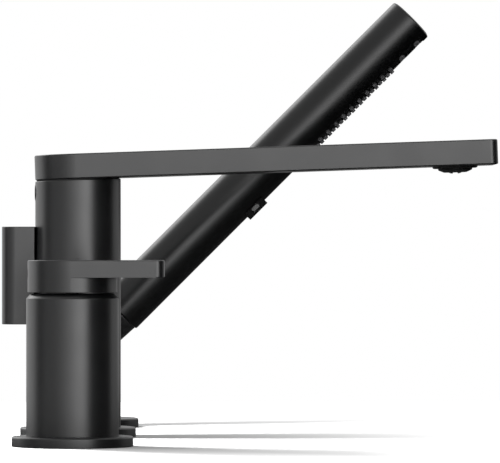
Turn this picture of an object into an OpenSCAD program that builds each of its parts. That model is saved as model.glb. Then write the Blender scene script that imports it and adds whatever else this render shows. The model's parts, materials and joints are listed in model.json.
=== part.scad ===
// Deck-mounted three-hole bath filler: single-lever mixer, flat spout with diverter, hand shower.
// Origin: on the spout column's axis, in the plane of the deck. +X along the spout, +Z up.
// The mixer stands on the -Y side of the spout and the hand shower on the +Y side.

/* [Stations] */
// Distance from the mixer's axis to the spout's axis
mixer_spacing = 130; // [110:5:180]
// Distance from the spout's axis to the hand shower's axis
shower_spacing = 145; // [110:5:200]
// Thickness of the deck that the set is clamped to
deck_t = 12; // [6:1:24]
// Outer diameter of the mixer body and of the spout column
column_d = 48; // [46:1:54]

/* [Rosettes] */
// Outer diameter of a rosette
rosette_d = 64; // [60:1:76]
// Height of a rosette above the deck
rosette_t = 5; // [4.6:0.2:8]
// Radius of a rosette's rounded upper edge
rosette_edge = 0.8; // [0.3:0.1:1.4]
// Diameter of a column's foot where it passes through its rosette
foot_d = 39.6; // [37:0.2:42]
// Height of the shadow groove between a rosette and its column
groove_h = 0.6; // [0.3:0.1:1]
// Depth of the shadow groove, measured from the column's side
groove_depth = 1.2; // [0.6:0.1:1.6]

/* [Deck fixings] */
// Outer diameter of the threaded shanks
shank_d = 32; // [30:1:34]
// Bore of the mixer's and the spout's shank
shank_bore_d = 27; // [26.6:0.1:27.6]
// Length of a shank below the deck plane
shank_len = 52; // [46:1:80]
// Length of shank that is screwed into the foot above it
socket_depth = 11; // [9:1:14]
// Diameter of the flange that holds a shank down on the deck
flange_d = 48; // [44:1:50]
// Thickness of that flange
flange_t = 2; // [1.4:0.2:2.4]
// Thickness of the gasket under the flange
gasket_t = 1; // [0.6:0.2:1.4]
// Outer diameter of the washers under the deck
washer_d = 50; // [44:1:60]
// Thickness of the rubber washer
rubber_t = 3; // [2:0.5:5]
// Thickness of the steel washer
plate_t = 2; // [1:0.5:3]
// Height of the shank nut
shank_nut_h = 8; // [6:1:12]
// Width of the shank nut across its flats
shank_nut_af = 42; // [40:1:48]

/* [Mixer] */
// Height of the mixer body's top above the deck
mixer_top = 80.8; // [78:0.2:95]
// Chamfer round the top of the mixer body
mixer_chamfer = 2; // [1:0.2:2.4]
// Depth of the cartridge's seat below the mixer body's top
seat_depth = 40; // [40:0.5:44]
// Radius of the circle on which the three water ports stand
port_circle_r = 8; // [7.6:0.1:8.4]
// Diameter of a hose port's thread
port_d = 9; // [8:0.2:9.4]
// Depth of a hose port's thread
port_depth = 12; // [9:1:14]
// Diameter of the water passages above the ports
passage_d = 6; // [5:0.2:6.4]

/* [Cartridge] */
// Outer diameter of the cartridge housing
cart_d = 35; // [34:0.5:36]
// Wall of the cartridge housing
cart_wall = 3.5; // [3:0.1:3.8]
// Thickness of the housing's base
cart_base_t = 4; // [3.4:0.2:5]
// Outer diameter of the housing's neck
cart_neck_d = 26; // [25:0.5:28]
// Height of the housing's neck
cart_neck_h = 6; // [5:0.5:7]
// Thickness of the shoulder that holds the rotor down
cart_shoulder_t = 2; // [1.5:0.1:2.6]
// Thickness of a ceramic disc
disc_t = 3.5; // [3:0.1:3.8]
// Diameter of the moving ceramic disc
moving_disc_d = 22.6; // [22:0.1:23]
// Thickness of the driver on the moving disc
driver_t = 6; // [5.6:0.1:6.4]
// Diameter of the ball at the lever stem's lower end
ball_d = 5; // [4.6:0.1:5.2]
// Height of the ball's centre above the driver's underside
ball_rise = 3.5; // [3.2:0.1:3.7]
// Distance from the ball's centre up to the lever's pivot
stem_arm = 6.7; // [6.2:0.1:7]
// Diameter of the lever's pivot pin
pivot_pin_d = 3; // [2.6:0.1:3.2]
// Diameter of the rotor's neck
rotor_neck_d = 21.2; // [20.6:0.1:21.8]
// Height of the ring nut that holds the cartridge down
ring_nut_h = 8; // [6:0.5:8.4]
// Outer diameter of the ring nut
ring_nut_d = 40; // [38:0.5:41]

/* [Lever] */
// Gap between the mixer body and the lever's cap
lever_gap = 1.5; // [0.8:0.1:2]
// Height of the lever's cap
cap_h = 17.2; // [16:0.1:20]
// Thickness of the lever's flat arm
lever_t = 9.2; // [8:0.1:14]
// Reach of the lever's arm from the mixer's axis
lever_reach = 49.2; // [40:0.2:80]
// Radius of the arm's corners, seen from above
lever_corner_r = 4.5; // [1:0.5:8]
// Wall of the cap's skirt
skirt_wall = 1.6; // [1.2:0.1:2]
// Depth of the hollow under the cap
cap_hollow = 6; // [5.4:0.1:6.6]
// Largest angle that the lever lifts to
lift_max = 20; // [10:1:20]
// Width of the lever stem, across the lever's plane
stem_w = 8; // [7:0.2:8.4]
// Thickness of the lever stem, along the lever
stem_t = 7; // [6:0.2:7.2]
// Length of stem inside the lever
stem_grip = 8; // [7:0.2:9]

/* [Spout] */
// Height at which the spout arm's underside crosses the column's axis
arm_z = 144.7; // [140:0.1:170]
// Angle of the spout arm above level
arm_tilt = 2; // [0:0.5:4]
// Thickness of the spout arm
arm_t = 14; // [13:0.5:18]
// Reach of the spout arm from the column's axis
arm_reach = 235.1; // [180:0.1:280]
// Radius of the arm's corners, seen from above
arm_corner_r = 4.5; // [1:0.5:10]
// Gap between the column and the arm
arm_gap = 0.5; // [0.3:0.1:1]
// Width of the waterway inside the arm
waterway_w = 30; // [24:1:36]
// Height of the waterway inside the arm
waterway_h = 6; // [4:0.5:7]
// Height of the waterway's floor above the arm's underside
waterway_floor = 4; // [3:0.5:5]
// Wall of the spout column
column_wall = 3.5; // [2.5:0.1:4]
// Diameter of the spigot that locates the arm in the column
spigot_d = 38; // [36:0.5:39]
// Length of that spigot below the arm
spigot_len = 24; // [22:0.5:28]
// Depth below the arm of the screw that locks the spigot
lock_screw_drop = 7.5; // [7:0.5:9]
// Diameter of that screw
lock_screw_d = 6; // [5:0.5:6]
// Diameter of the plug that covers the screw
lock_plug_d = 9.4; // [8:0.2:10]

/* [Aerator] */
// Distance from the arm's front end back to the aerator's axis
aerator_inset = 23.1; // [18:0.1:60]
// Diameter of the aerator's flange
aerator_flange_d = 24; // [23:0.5:28]
// Thickness of that flange
aerator_flange_t = 0.5; // [0.4:0.1:1.5]
// Diameter of the aerator's collar
aerator_collar_d = 18; // [17:0.5:20]
// Depth of the collar below the arm
aerator_drop = 2.3; // [1.5:0.1:4]
// Diameter of the aerator's thread in the arm
aerator_thread_d = 22; // [21:0.5:22.5]
// Length of that thread
aerator_thread_len = 7.5; // [6:0.5:8]
// Diameter of the insert
insert_d = 11.6; // [10:0.2:13]
// Diameter of the insert's lower end
insert_tip_d = 4.4; // [3.6:0.1:8]
// Height of the insert's cone
insert_cone_h = 1.4; // [1:0.1:2]
// Width of the coin slot in the insert
coin_slot_w = 2.9; // [2:0.1:3.5]
// Depth of the coin slot
coin_slot_depth = 1.3; // [0.8:0.1:1.8]

/* [Diverter] */
// Height of the diverter's axis above the deck
diverter_z = 90.6; // [80:0.1:100]
// Height of the diverter handle
handle_h = 54.8; // [45:0.1:60]
// Thickness of the diverter handle
handle_w = 16; // [14:0.5:20]
// Distance from the handle's inner to its outer face
handle_depth = 18.4; // [15:0.2:24]
// Gap between the column and the handle
handle_gap = 0.3; // [0.3:0.1:2]
// Outer diameter of the diverter's valve body
valve_d = 26; // [25.5:0.1:27]
// Diameter of the bush that holds the valve to the column's wall
valve_bush_d = 14; // [12:0.2:15]
// Depth of the bush's outer end below the column's side
valve_bush_sink = 0.5; // [0.3:0.1:1]
// Diameter of the chamber that holds the diverter's discs
chamber_d = 19; // [18.6:0.1:19.6]
// Distance from the column's axis to the chamber's floor
chamber_floor = 2; // [1.8:0.1:2.4]
// Thickness of a diverter disc
valve_disc_t = 3; // [2.6:0.1:3.2]
// Thickness of the flange on the diverter's stem
valve_flange_t = 2.5; // [2:0.1:3]
// Diameter of the diverter's stem
valve_stem_d = 8; // [7:0.2:9]
// Side of the square end of that stem
valve_square = 5.6; // [4.8:0.1:5.6]
// Length of that square end inside the handle
valve_square_len = 11; // [8:0.5:12]

/* [Water tubes] */
// Outer diameter of the feed and return tubes in the column
tube_d = 9; // [8:0.2:9.2]
// Bore of those tubes
tube_bore_d = 7; // [6:0.2:7.2]
// Distance of those tubes from the column's axis along the spout
tube_x = 6; // [5.6:0.1:6.4]
// Distance of those tubes from the spout's middle plane
tube_y = 6.5; // [6.2:0.1:6.6]
// Outer diameter of the riser tube
riser_d = 14; // [13:0.2:15]
// Bore of the riser tube
riser_bore_d = 11; // [9:0.2:12]

/* [Shower holder] */
// Outer diameter of the bent holder tube
holder_d = 24.9; // [24.6:0.1:25.6]
// Bore of that tube
holder_bore_d = 20.4; // [19.8:0.1:20.8]
// Height at which the hand shower's axis crosses the holder's axis
holder_z = 47.4; // [44:0.2:70]
// Angle of the hand shower from upright
shower_tilt = 45; // [30:1:50]
// Radius of the tube's bend, at its centre line
bend_r = 34; // [28:1:36]
// Diameter of the tube's threaded foot
holder_foot_d = 23.2; // [22.8:0.1:23.6]
// Length of that foot inside the shank
holder_foot_len = 12; // [8:1:16]
// Outer diameter of the turning liner
liner_d = 22.6; // [22.4:0.1:22.8]
// Length of that liner inside the holder
liner_len = 12; // [10:0.5:12.5]
// Thickness of the liner's flange
liner_flange_t = 1; // [0.8:0.1:1.5]

/* [Hand shower] */
// Distance along the stick's axis from the holder's axis to the stick's lower end
stick_start = 30.1; // [29.6:0.1:36]
// Outer diameter of the stick
stick_d = 27.6; // [27:0.1:30]
// Length of the stick
stick_len = 244; // [220:0.2:280]
// Wall of the stick's outer tube
stick_wall = 1.5; // [1:0.1:1.8]
// Diameter of the inlet spigot that stands in the holder
inlet_d = 20.8; // [20:0.1:21]
// Length of that spigot below the stick
inlet_len = 13; // [11:0.5:13]
// Diameter of the hose thread in the spigot
hose_thread_d = 14; // [13:0.1:15]
// Depth of the hose thread
hose_thread_len = 12; // [9:0.5:13]
// Length of the spigot's collar inside the stick
collar_len = 14; // [13:0.5:18]
// Outer diameter of the water tube inside the stick
water_tube_d = 14; // [13:0.2:15]
// Bore of that water tube
water_bore_d = 11.2; // [10:0.2:12]
// Distance from the stick's top end to the spray window
window_top = 3.5; // [3.2:0.1:5]
// Length of the spray window
window_len = 103.5; // [90:0.5:120]
// Width of the spray window
window_w = 19; // [18:0.5:20]
// Thickness of the spray plate that fills the window
plate_wall = 1.9; // [1.6:0.1:2.2]
// Thickness of the nozzle mat behind that plate
mat_t = 1.3; // [1:0.1:1.6]
// Number of nozzles in a full row
nozzle_count = 12; // [4:1:12]
// Distance from the last nozzle to the lower end of the spray window
nozzle_end = 5.8; // [4:0.1:8]
// Distance from the stick's top end to the first nozzle
nozzle_first = 29.7; // [29:0.1:31]
// Angle between neighbouring rows of nozzles
row_angle = 15; // [13:0.5:16]
// Diameter of a nozzle at its root
nozzle_d = 3.2; // [2.4:0.1:3.2]
// Diameter of a nozzle at its tip
nozzle_tip_d = 2.3; // [1.6:0.1:2.3]
// Height of a nozzle above the spray plate
nozzle_h = 1.1; // [0.6:0.1:2]
// Distance from the stick's top end to the first and second jet
jet_places = [7.8, 19.9];
// Width of a jet's oval along the stick
jet_w = 4.2; // [3:0.1:5]
// Length of a jet's oval across the stick
jet_len = 16.6; // [12:0.2:17]
// Width of the slit in a jet's pad
jet_slit_w = 1; // [0.6:0.1:1.4]
// Length of that slit across the stick
jet_slit_len = 11; // [8:0.5:11]

/* [Pause button] */
// Distance from the stick's top end to the button's centre
button_from_top = 143.9; // [130:0.1:170]
// Length of the button's block along the stick
block_len = 14.1; // [12:0.1:16]
// Width of the block across the stick
block_w = 16; // [15.6:0.1:16.4]
// Height of the block above the stick
block_rise = 2.8; // [2.4:0.1:3.4]
// Length of the push-through bar's oval end
bar_len = 6.2; // [5.6:0.1:7]
// Height of the bar's oval end
bar_h = 3.4; // [3.2:0.1:3.6]
// Depth of the bar's upper side below the block's top
bar_drop = 1.4; // [1:0.1:1.6]
// Travel of the bar from side to side
bar_travel = 3.6; // [3.4:0.1:3.7]
// Thickness of the shutter plate under the bar
shutter_t = 2.8; // [2:0.1:3]
// Diameter of the hole in the shutter
shutter_hole_d = 3; // [2:0.1:3.1]
// Length of the shutter's housing along the stick
shutter_body_len = 22; // [20:0.5:26]

/* [Clearances] */
// Radial clearance of threads and of pieces that are seated for good
seat_fit = 0.05; // [0.02:0.01:0.1]
// Radial clearance of a shaft or stem that turns
run_fit = 0.05; // [0.02:0.01:0.1]
// Gap between moving pieces that pass each other
free_gap = 0.3; // [0.2:0.05:0.4]

/* [Hidden] */
$fn = 96;
// Overrun of every cut past the face that it opens
cut = 1;
// A size larger than the whole object, for cutting planes
beyond = 600;

column_r = column_d / 2;
// The widths inside the columns are stated for a column of this diameter and keep their share of it
design_d = 48;
share = column_d / design_d;

rosette_r = rosette_d / 2;
foot_r = share * foot_d / 2;
shank_r = share * shank_d / 2;
shank_bore_r = share * shank_bore_d / 2;
flange_r = share * flange_d / 2;
washer_r = share * washer_d / 2;
nut_af = share * shank_nut_af;
port_ring_r = share * port_circle_r;
port_r = share * port_d / 2;
passage_r = share * passage_d / 2;
flange_top = gasket_t + flange_t;
body_z = rosette_t + groove_h;
socket_top = flange_top + socket_depth;
recess_gap = 0.5;
web_gap = 0.2;

seat_z = mixer_top - seat_depth;
cart_r = share * cart_d / 2;
cart_inner_r = cart_r - share * cart_wall;
cart_neck_r = share * cart_neck_d / 2;
cart_fit = 0.2;
fixed_disc_z = seat_z + cart_base_t;
disc_film = 0.02;
disc_fit = 0.1;
moving_disc_r = share * moving_disc_d / 2;
moving_disc_z = fixed_disc_z + disc_t + disc_film;
driver_z = moving_disc_z + disc_t;
ball_z = driver_z + ball_rise;
lift_z = ball_z + stem_arm;
ball_gap = 0.15;
arm_blade_t = 2.6;
arm_blade_w = 5;
driver_d = 20.6;
driver_r = share * driver_d / 2;
rotor_neck_r = share * rotor_neck_d / 2;
rotor_z = driver_z + driver_t + free_gap;
rotor_web = 1.2;
rotor_shoulder_z = lift_z + pivot_pin_d / 2 + rotor_web;
shoulder_under_z = rotor_shoulder_z + free_gap;
shoulder_z = shoulder_under_z + cart_shoulder_t;
neck_top_z = shoulder_z + cart_neck_h;
pivot_pin_inset = 1.7;
pivot_pin_len = 2 * (cart_inner_r - free_gap - pivot_pin_inset);
port_angles = [60, 180, 300];
bush_wall = 1.9;
bush_web = 2;
bush_neck_h = 6;
bush_r = port_r + share * bush_wall;
port_roof_z = socket_top + port_depth + bush_web;
bush_top_z = port_roof_z + bush_neck_h;
seal_w = 1.6;
seal_t = 1.5;
disc_port_d = 5.2;
disc_port_r = share * disc_port_d / 2;
mix_hole_d = 14;
mix_hole_r = share * mix_hole_d / 2;
mix_hole_offset = 3;
mix_hole_x = share * mix_hole_offset;
mix_hole_depth = 1.8;
ring_nut_r = share * ring_nut_d / 2;
ring_nut_slot_w = 5;
ring_nut_slot_depth = 2.5;
cover_lip = 0.5;
cover_r = column_r - mixer_chamfer - cover_lip;
cover_z = shoulder_z + ring_nut_h + free_gap;
cover_drop = 0.5;
cover_top = mixer_top - cover_drop;
cover_edge_t = 2;
cover_dish = 1.5;
stem_clear_r = 12;

lever_z = mixer_top + lever_gap;
lever_top = lever_z + cap_h;
stem_across = share * stem_w;
stem_along = share * stem_t;
roof_z = lever_z + cap_hollow;
grub_d = 5;
grub_len = 9;
grub_key_r = 1.4;
grub_key_depth = 2.5;
lever_plug_d = 6.8;
lever_plug_t = 2;
lever_plug_sink = 0.3;
lever_plug_out = column_r - stem_along / 2 - lever_plug_sink;

column_bore_r = column_r - column_wall;
base_top = 34;
tube_seat_z = 28;
spigot_r = share * spigot_d / 2;
spigot_low = arm_z - spigot_len;
bore_step = 3;
orings_drop = [14, 18.5];
oring_h = 2.4;
oring_depth = 1.7;
lock_z = arm_z - lock_screw_drop;
lock_groove = 1.6;
lock_groove_h = 6.4;
lock_key_r = 1.7;
plug_t = 1.5;
plug_gap = 0.1;
lock_screw_len = column_r - spigot_r + lock_groove - plug_t - plug_gap;
plug_proud = 0.35;
riser_socket = 6;
aerator_x = arm_reach - aerator_inset;
arm_gasket_inset = 0.9;
spigot_flange_t = 2.5;
spigot_flange_d = 32;
spigot_flange_r = share * spigot_flange_d / 2;
tube_r = share * tube_d / 2;
tube_bore_r = share * tube_bore_d / 2;
tubes_x = share * tube_x;
tubes_y = share * tube_y;
riser_r = share * riser_d / 2;
riser_bore_r = share * riser_bore_d / 2;

valve_r = share * valve_d / 2;
valve_end = sqrt(pow(column_bore_r, 2) - pow(valve_r, 2)) - free_gap;
chamber_r = share * chamber_d / 2;
valve_bush_r = share * valve_bush_d / 2;
valve_stem_r = share * valve_stem_d / 2;
valve_side = share * valve_square;
valve_disc_r = chamber_r - disc_fit;
turning_disc_s = chamber_floor + valve_disc_t + disc_film;
stem_flange_s = turning_disc_s + valve_disc_t;
gland_s = stem_flange_s + valve_flange_t + free_gap;
handle_s = column_r + handle_gap;
valve_port_offset = 6;
valve_port_x = share * valve_port_offset;
valve_port_d = 5;
valve_port_r = share * valve_port_d / 2;
valve_slot_depth = 1.8;
tube_drop = 6;
riser_rise = 7;
handle_screw_d = 4;
handle_screw_len = 4;
handle_screw_s = 6;
handle_key_r = 1.1;
handle_key_depth = 1.5;

holder_r = holder_d / 2;
holder_bore_r = holder_bore_d / 2;
holder_foot_r = holder_foot_d / 2;
bend_reach = bend_r * tan(shower_tilt / 2);
liner_top = stick_start - free_gap;
liner_low = liner_top - liner_flange_t - liner_len;
sleeve_top = liner_top - liner_flange_t - run_fit;
liner_r = liner_d / 2;
inlet_r = inlet_d / 2;

stick_r = stick_d / 2;
stick_inner_r = stick_r - stick_wall;
stick_top = stick_start + stick_len;
window_high = stick_top - window_top;
window_low = window_high - window_len;
nozzle_field = window_top + window_len - nozzle_first - nozzle_end;
nozzle_pitch = nozzle_field / (nozzle_count - 1);
mat_gap = 0.05;
pad_sink = 0.1;
pad_gap = 0.1;
mat_outer_r = stick_r - plate_wall - mat_gap;
mat_inner_r = mat_outer_r - mat_t;
manifold_r = mat_inner_r - mat_gap;
manifold_wall = 2;
manifold_flange_t = 3;
manifold_low = window_low - manifold_flange_t;
end_cap_t = 3;
end_cap_sink = 0.3;
end_cap_bevel = 0.4;
valve_stop_t = 3;
valve_bore_low = stick_start + valve_stop_t;
check_valve_len = 8;
check_valve_bore_d = 6;
inlet_passage_d = 10;
button_t = stick_top - button_from_top;
block_floor_r = 9.6;
block_top_r = stick_r + block_rise;
bar_r = block_top_r - bar_drop - bar_h / 2;
bar_recess = 0.3;
shutter_rim = 0.4;
shutter_hole_r = shutter_hole_d / 2;
shutter_far = bar_travel + shutter_hole_r + shutter_rim;
shutter_reach = shutter_far + free_gap;
tube_grip = 5;
window_slot_w = 12;

// Places

module at_mixer() {
    translate([0, -mixer_spacing, 0]) children();
}

module at_shower() {
    translate([0, shower_spacing, 0]) children();
}

module at_stations() {
    at_mixer() children();
    children();
    at_shower() children();
}

// The arm's own frame: x along the arm, z up from its underside
module on_arm() {
    translate([0, 0, arm_z]) rotate([0, -arm_tilt, 0]) children();
}

// The diverter's own frame: z points outwards from the column's axis, x points up
module on_valve() {
    translate([0, 0, diverter_z]) rotate([0, -90, 0]) children();
}

// The stick's own frame: z along the stick, x towards the nozzles
module on_stick() {
    at_shower() translate([0, 0, holder_z]) rotate([0, shower_tilt, 0]) children();
}

// Shapes

module tube(r, bore_r, low, high) {
    difference() {
        translate([0, 0, low]) cylinder(r = r, h = high - low);
        translate([0, 0, low - cut]) cylinder(r = bore_r, h = high - low + 2 * cut);
    }
}

module rod(r, low, high) {
    translate([0, 0, low]) cylinder(r = r, h = high - low);
}

// A flat tongue seen from above: round at the rear, square at the front with small corners
module tongue(r, reach, corner_r) {
    circle(r = r);
    translate([0, -r]) square([reach - corner_r, 2 * r]);
    translate([0, corner_r - r]) square([reach, 2 * (r - corner_r)]);
    for (side = [-1, 1]) translate([reach - corner_r, side * (r - corner_r)]) circle(r = corner_r);
}

// A shape with two round ends, its length along y
module obround(length, width) {
    for (side = [-1, 1]) translate([0, side * (length - width) / 2]) circle(d = width);
    square([width, length - width], center = true);
}

module grub_screw(r, length, key_r, key_depth) {
    difference() {
        cylinder(r = r, h = length);
        translate([0, 0, length - key_depth]) cylinder(r = key_r, h = key_depth + cut, $fn = 6);
    }
}

// Rosettes and deck fixings

module rosette(hole_r) {
    color("#232425") difference() {
        rotate_extrude() {
            square([rosette_r, rosette_t - rosette_edge]);
            square([rosette_r - rosette_edge, rosette_t]);
            translate([rosette_r - rosette_edge, rosette_t - rosette_edge]) circle(r = rosette_edge);
        }
        rod(hole_r + seat_fit, -cut, rosette_t + cut);
        rod(flange_r + recess_gap, -cut, flange_top + web_gap);
    }
}

module rosette_mixer() {
    at_mixer() rosette(foot_r);
}

module rosette_spout() {
    rosette(foot_r);
}

module rosette_shower() {
    at_shower() rosette(holder_foot_r);
}

module shank(top, bore_r) {
    color("#b08d3e") difference() {
        union() {
            rod(shank_r, -shank_len, top);
            rod(flange_r, gasket_t, flange_top);
        }
        rod(bore_r, -shank_len - cut, top + cut);
    }
}

module shank_mixer() {
    at_mixer() shank(socket_top - free_gap, shank_bore_r);
}

module shank_spout() {
    shank(socket_top - free_gap, shank_bore_r);
}

module shank_shower() {
    at_shower() shank(flange_top, holder_foot_r + seat_fit);
}

module flange_gaskets() {
    color("#1b1b1b") at_stations() tube(flange_r, shank_r + seat_fit, 0, gasket_t);
}

module rubber_washers() {
    color("#1b1b1b") at_stations() tube(washer_r, shank_r + seat_fit, -deck_t - rubber_t, -deck_t);
}

module steel_washers() {
    high = -deck_t - rubber_t;
    color("#a8acb0") at_stations() tube(washer_r, shank_r + seat_fit, high - plate_t, high);
}

module shank_nuts() {
    high = -deck_t - rubber_t - plate_t;
    low = high - shank_nut_h;
    color("#b08d3e") at_stations() difference() {
        translate([0, 0, low]) cylinder(d = nut_af / cos(30), h = shank_nut_h, $fn = 6);
        rod(shank_r + seat_fit, low - cut, high + cut);
    }
}

// Mixer

// The foot that every column stands on, from the shank's flange up to the column's side
module foot(top) {
    rod(foot_r, flange_top, top);
    rod(column_r - groove_depth, rosette_t, top);
}

module at_ports() {
    for (angle = port_angles) rotate(angle) translate([port_ring_r, 0, 0]) children();
}

module mixer_body() {
    color("#232425") at_mixer() difference() {
        union() {
            foot(seat_z);
            rod(column_r, body_z, mixer_top - mixer_chamfer);
            translate([0, 0, mixer_top - mixer_chamfer])
                cylinder(r1 = column_r, r2 = column_r - mixer_chamfer, h = mixer_chamfer);
        }
        rod(shank_r + seat_fit, flange_top - cut, socket_top);
        rod(port_ring_r + bush_r + free_gap, socket_top - cut, port_roof_z);
        rod(cart_r + cart_fit, seat_z, mixer_top);
        rod(ring_nut_r, shoulder_z, mixer_top);
        rod(cover_r, cover_z, mixer_top + cut);
        at_ports() {
            rod(port_r + seat_fit, port_roof_z - cut, bush_top_z + seat_fit);
            rod(passage_r, bush_top_z, seat_z + cut);
        }
    }
}

// Screwed into the body from below, one for each hose
module port_bushes() {
    color("#b08d3e") at_mixer() at_ports() difference() {
        union() {
            rod(bush_r, socket_top, port_roof_z);
            rod(port_r, port_roof_z - cut, bush_top_z);
        }
        rod(port_r, socket_top - cut, socket_top + port_depth);
        rod(passage_r, socket_top, bush_top_z + cut);
    }
}

module port_seals() {
    color("#2a2a2a") at_mixer() at_ports()
        tube(passage_r + seal_w - seat_fit, passage_r, seat_z, seat_z + seal_t);
}

module cartridge_housing() {
    color("#d8d4c8") at_mixer() difference() {
        union() {
            rod(cart_r, seat_z, shoulder_z);
            rod(cart_neck_r, shoulder_z - cut, neck_top_z);
        }
        rod(cart_inner_r, fixed_disc_z, shoulder_under_z);
        rod(rotor_neck_r + run_fit, fixed_disc_z, neck_top_z + cut);
        at_ports() {
            rod(passage_r, seat_z - cut, fixed_disc_z + cut);
            rod(passage_r + seal_w, seat_z - cut, seat_z + seal_t);
        }
    }
}

module fixed_disc() {
    color("#eeeeea") at_mixer() difference() {
        rod(cart_inner_r - disc_fit, fixed_disc_z, fixed_disc_z + disc_t);
        at_ports() rod(disc_port_r, fixed_disc_z - cut, fixed_disc_z + disc_t + cut);
    }
}

// The hollow in its underside joins the outlet to the inlets when the disc slides
module moving_disc() {
    color("#eeeeea") at_mixer() difference() {
        rod(moving_disc_r, moving_disc_z, moving_disc_z + disc_t);
        translate([-mix_hole_x, 0, 0])
            rod(mix_hole_r, moving_disc_z - cut, moving_disc_z + mix_hole_depth);
    }
}

module disc_driver() {
    pocket_x = ball_d + 2 * ball_gap;
    pocket_y = arm_blade_w + 2 * free_gap;
    pocket_z = ball_z - ball_d / 2 - free_gap;
    color("#3c4a55") at_mixer() difference() {
        rod(driver_r, driver_z, driver_z + driver_t);
        translate([-pocket_x / 2, -pocket_y / 2, pocket_z]) cube([pocket_x, pocket_y, driver_t]);
    }
}

// The slot lets the lever's stem swing rearwards above the pivot and forwards below it
module cartridge_rotor() {
    slot_y = stem_across + 2 * free_gap;
    front = stem_along / 2 + free_gap;
    back = stem_along / 2 / cos(lift_max) + (neck_top_z - lift_z) * tan(lift_max) + free_gap;
    low = arm_blade_t / 2 / cos(lift_max) + (lift_z - rotor_z) * tan(lift_max) + free_gap;
    low_front = max(front, low);
    color("#3c4a55") at_mixer() difference() {
        union() {
            rod(cart_inner_r - free_gap, rotor_z, rotor_shoulder_z);
            rod(rotor_neck_r, rotor_z, neck_top_z);
        }
        translate([-back, -slot_y / 2, lift_z]) cube([back + front, slot_y, neck_top_z]);
        translate([-front, -slot_y / 2, rotor_z - cut])
            cube([front + low_front, slot_y, lift_z - rotor_z + 2 * cut]);
        translate([0, 0, lift_z]) rotate([90, 0, 0])
            cylinder(d = pivot_pin_d + 2 * seat_fit, h = column_d, center = true);
    }
}

module pivot_pin() {
    color("#a8acb0") at_mixer() translate([0, 0, lift_z]) rotate([90, 0, 0])
        cylinder(d = pivot_pin_d, h = pivot_pin_len, center = true);
}

module ring_nut() {
    color("#b08d3e") at_mixer() difference() {
        rod(ring_nut_r - seat_fit, shoulder_z, shoulder_z + ring_nut_h);
        rod(cart_neck_r + free_gap, shoulder_z - cut, shoulder_z + ring_nut_h + cut);
        for (angle = [0, 90]) rotate(angle)
            translate([-column_r, -ring_nut_slot_w / 2, shoulder_z + ring_nut_h - ring_nut_slot_depth])
                cube([column_d, ring_nut_slot_w, ring_nut_slot_depth + cut]);
    }
}

// The dished ring that closes the body's top round the lever's stem
module cover_ring() {
    outer = cover_r - seat_fit;
    color("#1b1c1d") at_mixer() rotate_extrude() polygon([
        [stem_clear_r, cover_z],
        [outer, cover_z],
        [outer, cover_top],
        [outer - cover_edge_t, cover_top],
        [stem_clear_r, cover_top - cover_dish]
    ]);
}

module lever_stem() {
    color("#a8acb0") at_mixer() difference() {
        union() {
            translate([-stem_along / 2, -stem_across / 2, lift_z])
                cube([stem_along, stem_across, roof_z + stem_grip - lift_z]);
            translate([0, 0, lift_z]) rotate([90, 0, 0])
                cylinder(d = stem_along, h = stem_across, center = true);
            translate([-arm_blade_t / 2, -arm_blade_w / 2, ball_z])
                cube([arm_blade_t, arm_blade_w, stem_arm]);
            translate([0, 0, ball_z]) sphere(d = ball_d);
        }
        translate([0, 0, lift_z]) rotate([90, 0, 0])
            cylinder(d = pivot_pin_d + 2 * run_fit, h = column_d, center = true);
    }
}

// Faces outwards through the rear of the lever's cap, level with the stem's grip
module behind_stem() {
    translate([-stem_along / 2, 0, roof_z + stem_grip / 2]) rotate([0, -90, 0]) children();
}

module lever_handle() {
    stem_x = stem_along + 2 * seat_fit;
    stem_y = stem_across + 2 * seat_fit;
    color("#232425") at_mixer() difference() {
        union() {
            rod(column_r, lever_z, lever_top);
            translate([0, 0, lever_top - lever_t]) linear_extrude(lever_t)
                tongue(column_r, lever_reach, lever_corner_r);
        }
        rod(column_r - skirt_wall, lever_z - cut, roof_z);
        translate([-stem_x / 2, -stem_y / 2, roof_z - cut])
            cube([stem_x, stem_y, stem_grip + cut + free_gap]);
        behind_stem() {
            rod(grub_d / 2 + seat_fit, 0, column_r);
            rod(lever_plug_d / 2 + seat_fit, lever_plug_out - lever_plug_t, column_r);
        }
    }
}

module lever_grub_screw() {
    color("#a8acb0") at_mixer() behind_stem() grub_screw(grub_d / 2, grub_len, grub_key_r, grub_key_depth);
}

module lever_plug() {
    color("#1b1c1d") at_mixer() behind_stem()
        rod(lever_plug_d / 2, lever_plug_out - lever_plug_t, lever_plug_out);
}

// Spout column and diverter

module at_tubes() {
    for (side = [-1, 1]) translate([tubes_x, side * tubes_y, 0]) children();
}

module column_base() {
    color("#b08d3e") difference() {
        union() {
            foot(body_z);
            rod(column_bore_r - seat_fit, rosette_t, base_top);
        }
        rod(shank_r + seat_fit, flange_top - cut, socket_top);
        at_tubes() {
            rod(port_r, socket_top - cut, socket_top + port_depth);
            rod(tube_bore_r, socket_top + port_depth - cut, base_top + cut);
            rod(tube_r + seat_fit, tube_seat_z, base_top + cut);
        }
    }
}

module spout_column() {
    color("#232425") difference() {
        rod(column_r, body_z, arm_z + arm_t);
        rod(column_bore_r, body_z - cut, spigot_low - bore_step);
        rod(spigot_r + seat_fit, spigot_low - bore_step - cut, arm_z + arm_t + cut);
        on_arm() translate([-beyond / 2, -beyond / 2, -arm_gap]) cube(beyond);
        on_valve() rod(valve_bush_r + seat_fit, 0, column_d);
        behind_lock() {
            rod(lock_screw_d / 2 + seat_fit, 0, column_d);
            rod(lock_plug_d / 2 + seat_fit, column_r - spigot_r - plug_t + lock_groove, column_d);
        }
    }
}

// The feed tube on the +Y side and the return tube on the other
module column_tubes() {
    color("#b08d3e") at_tubes() tube(tube_r, tube_bore_r, tube_seat_z, diverter_z - tube_drop);
}

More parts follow.
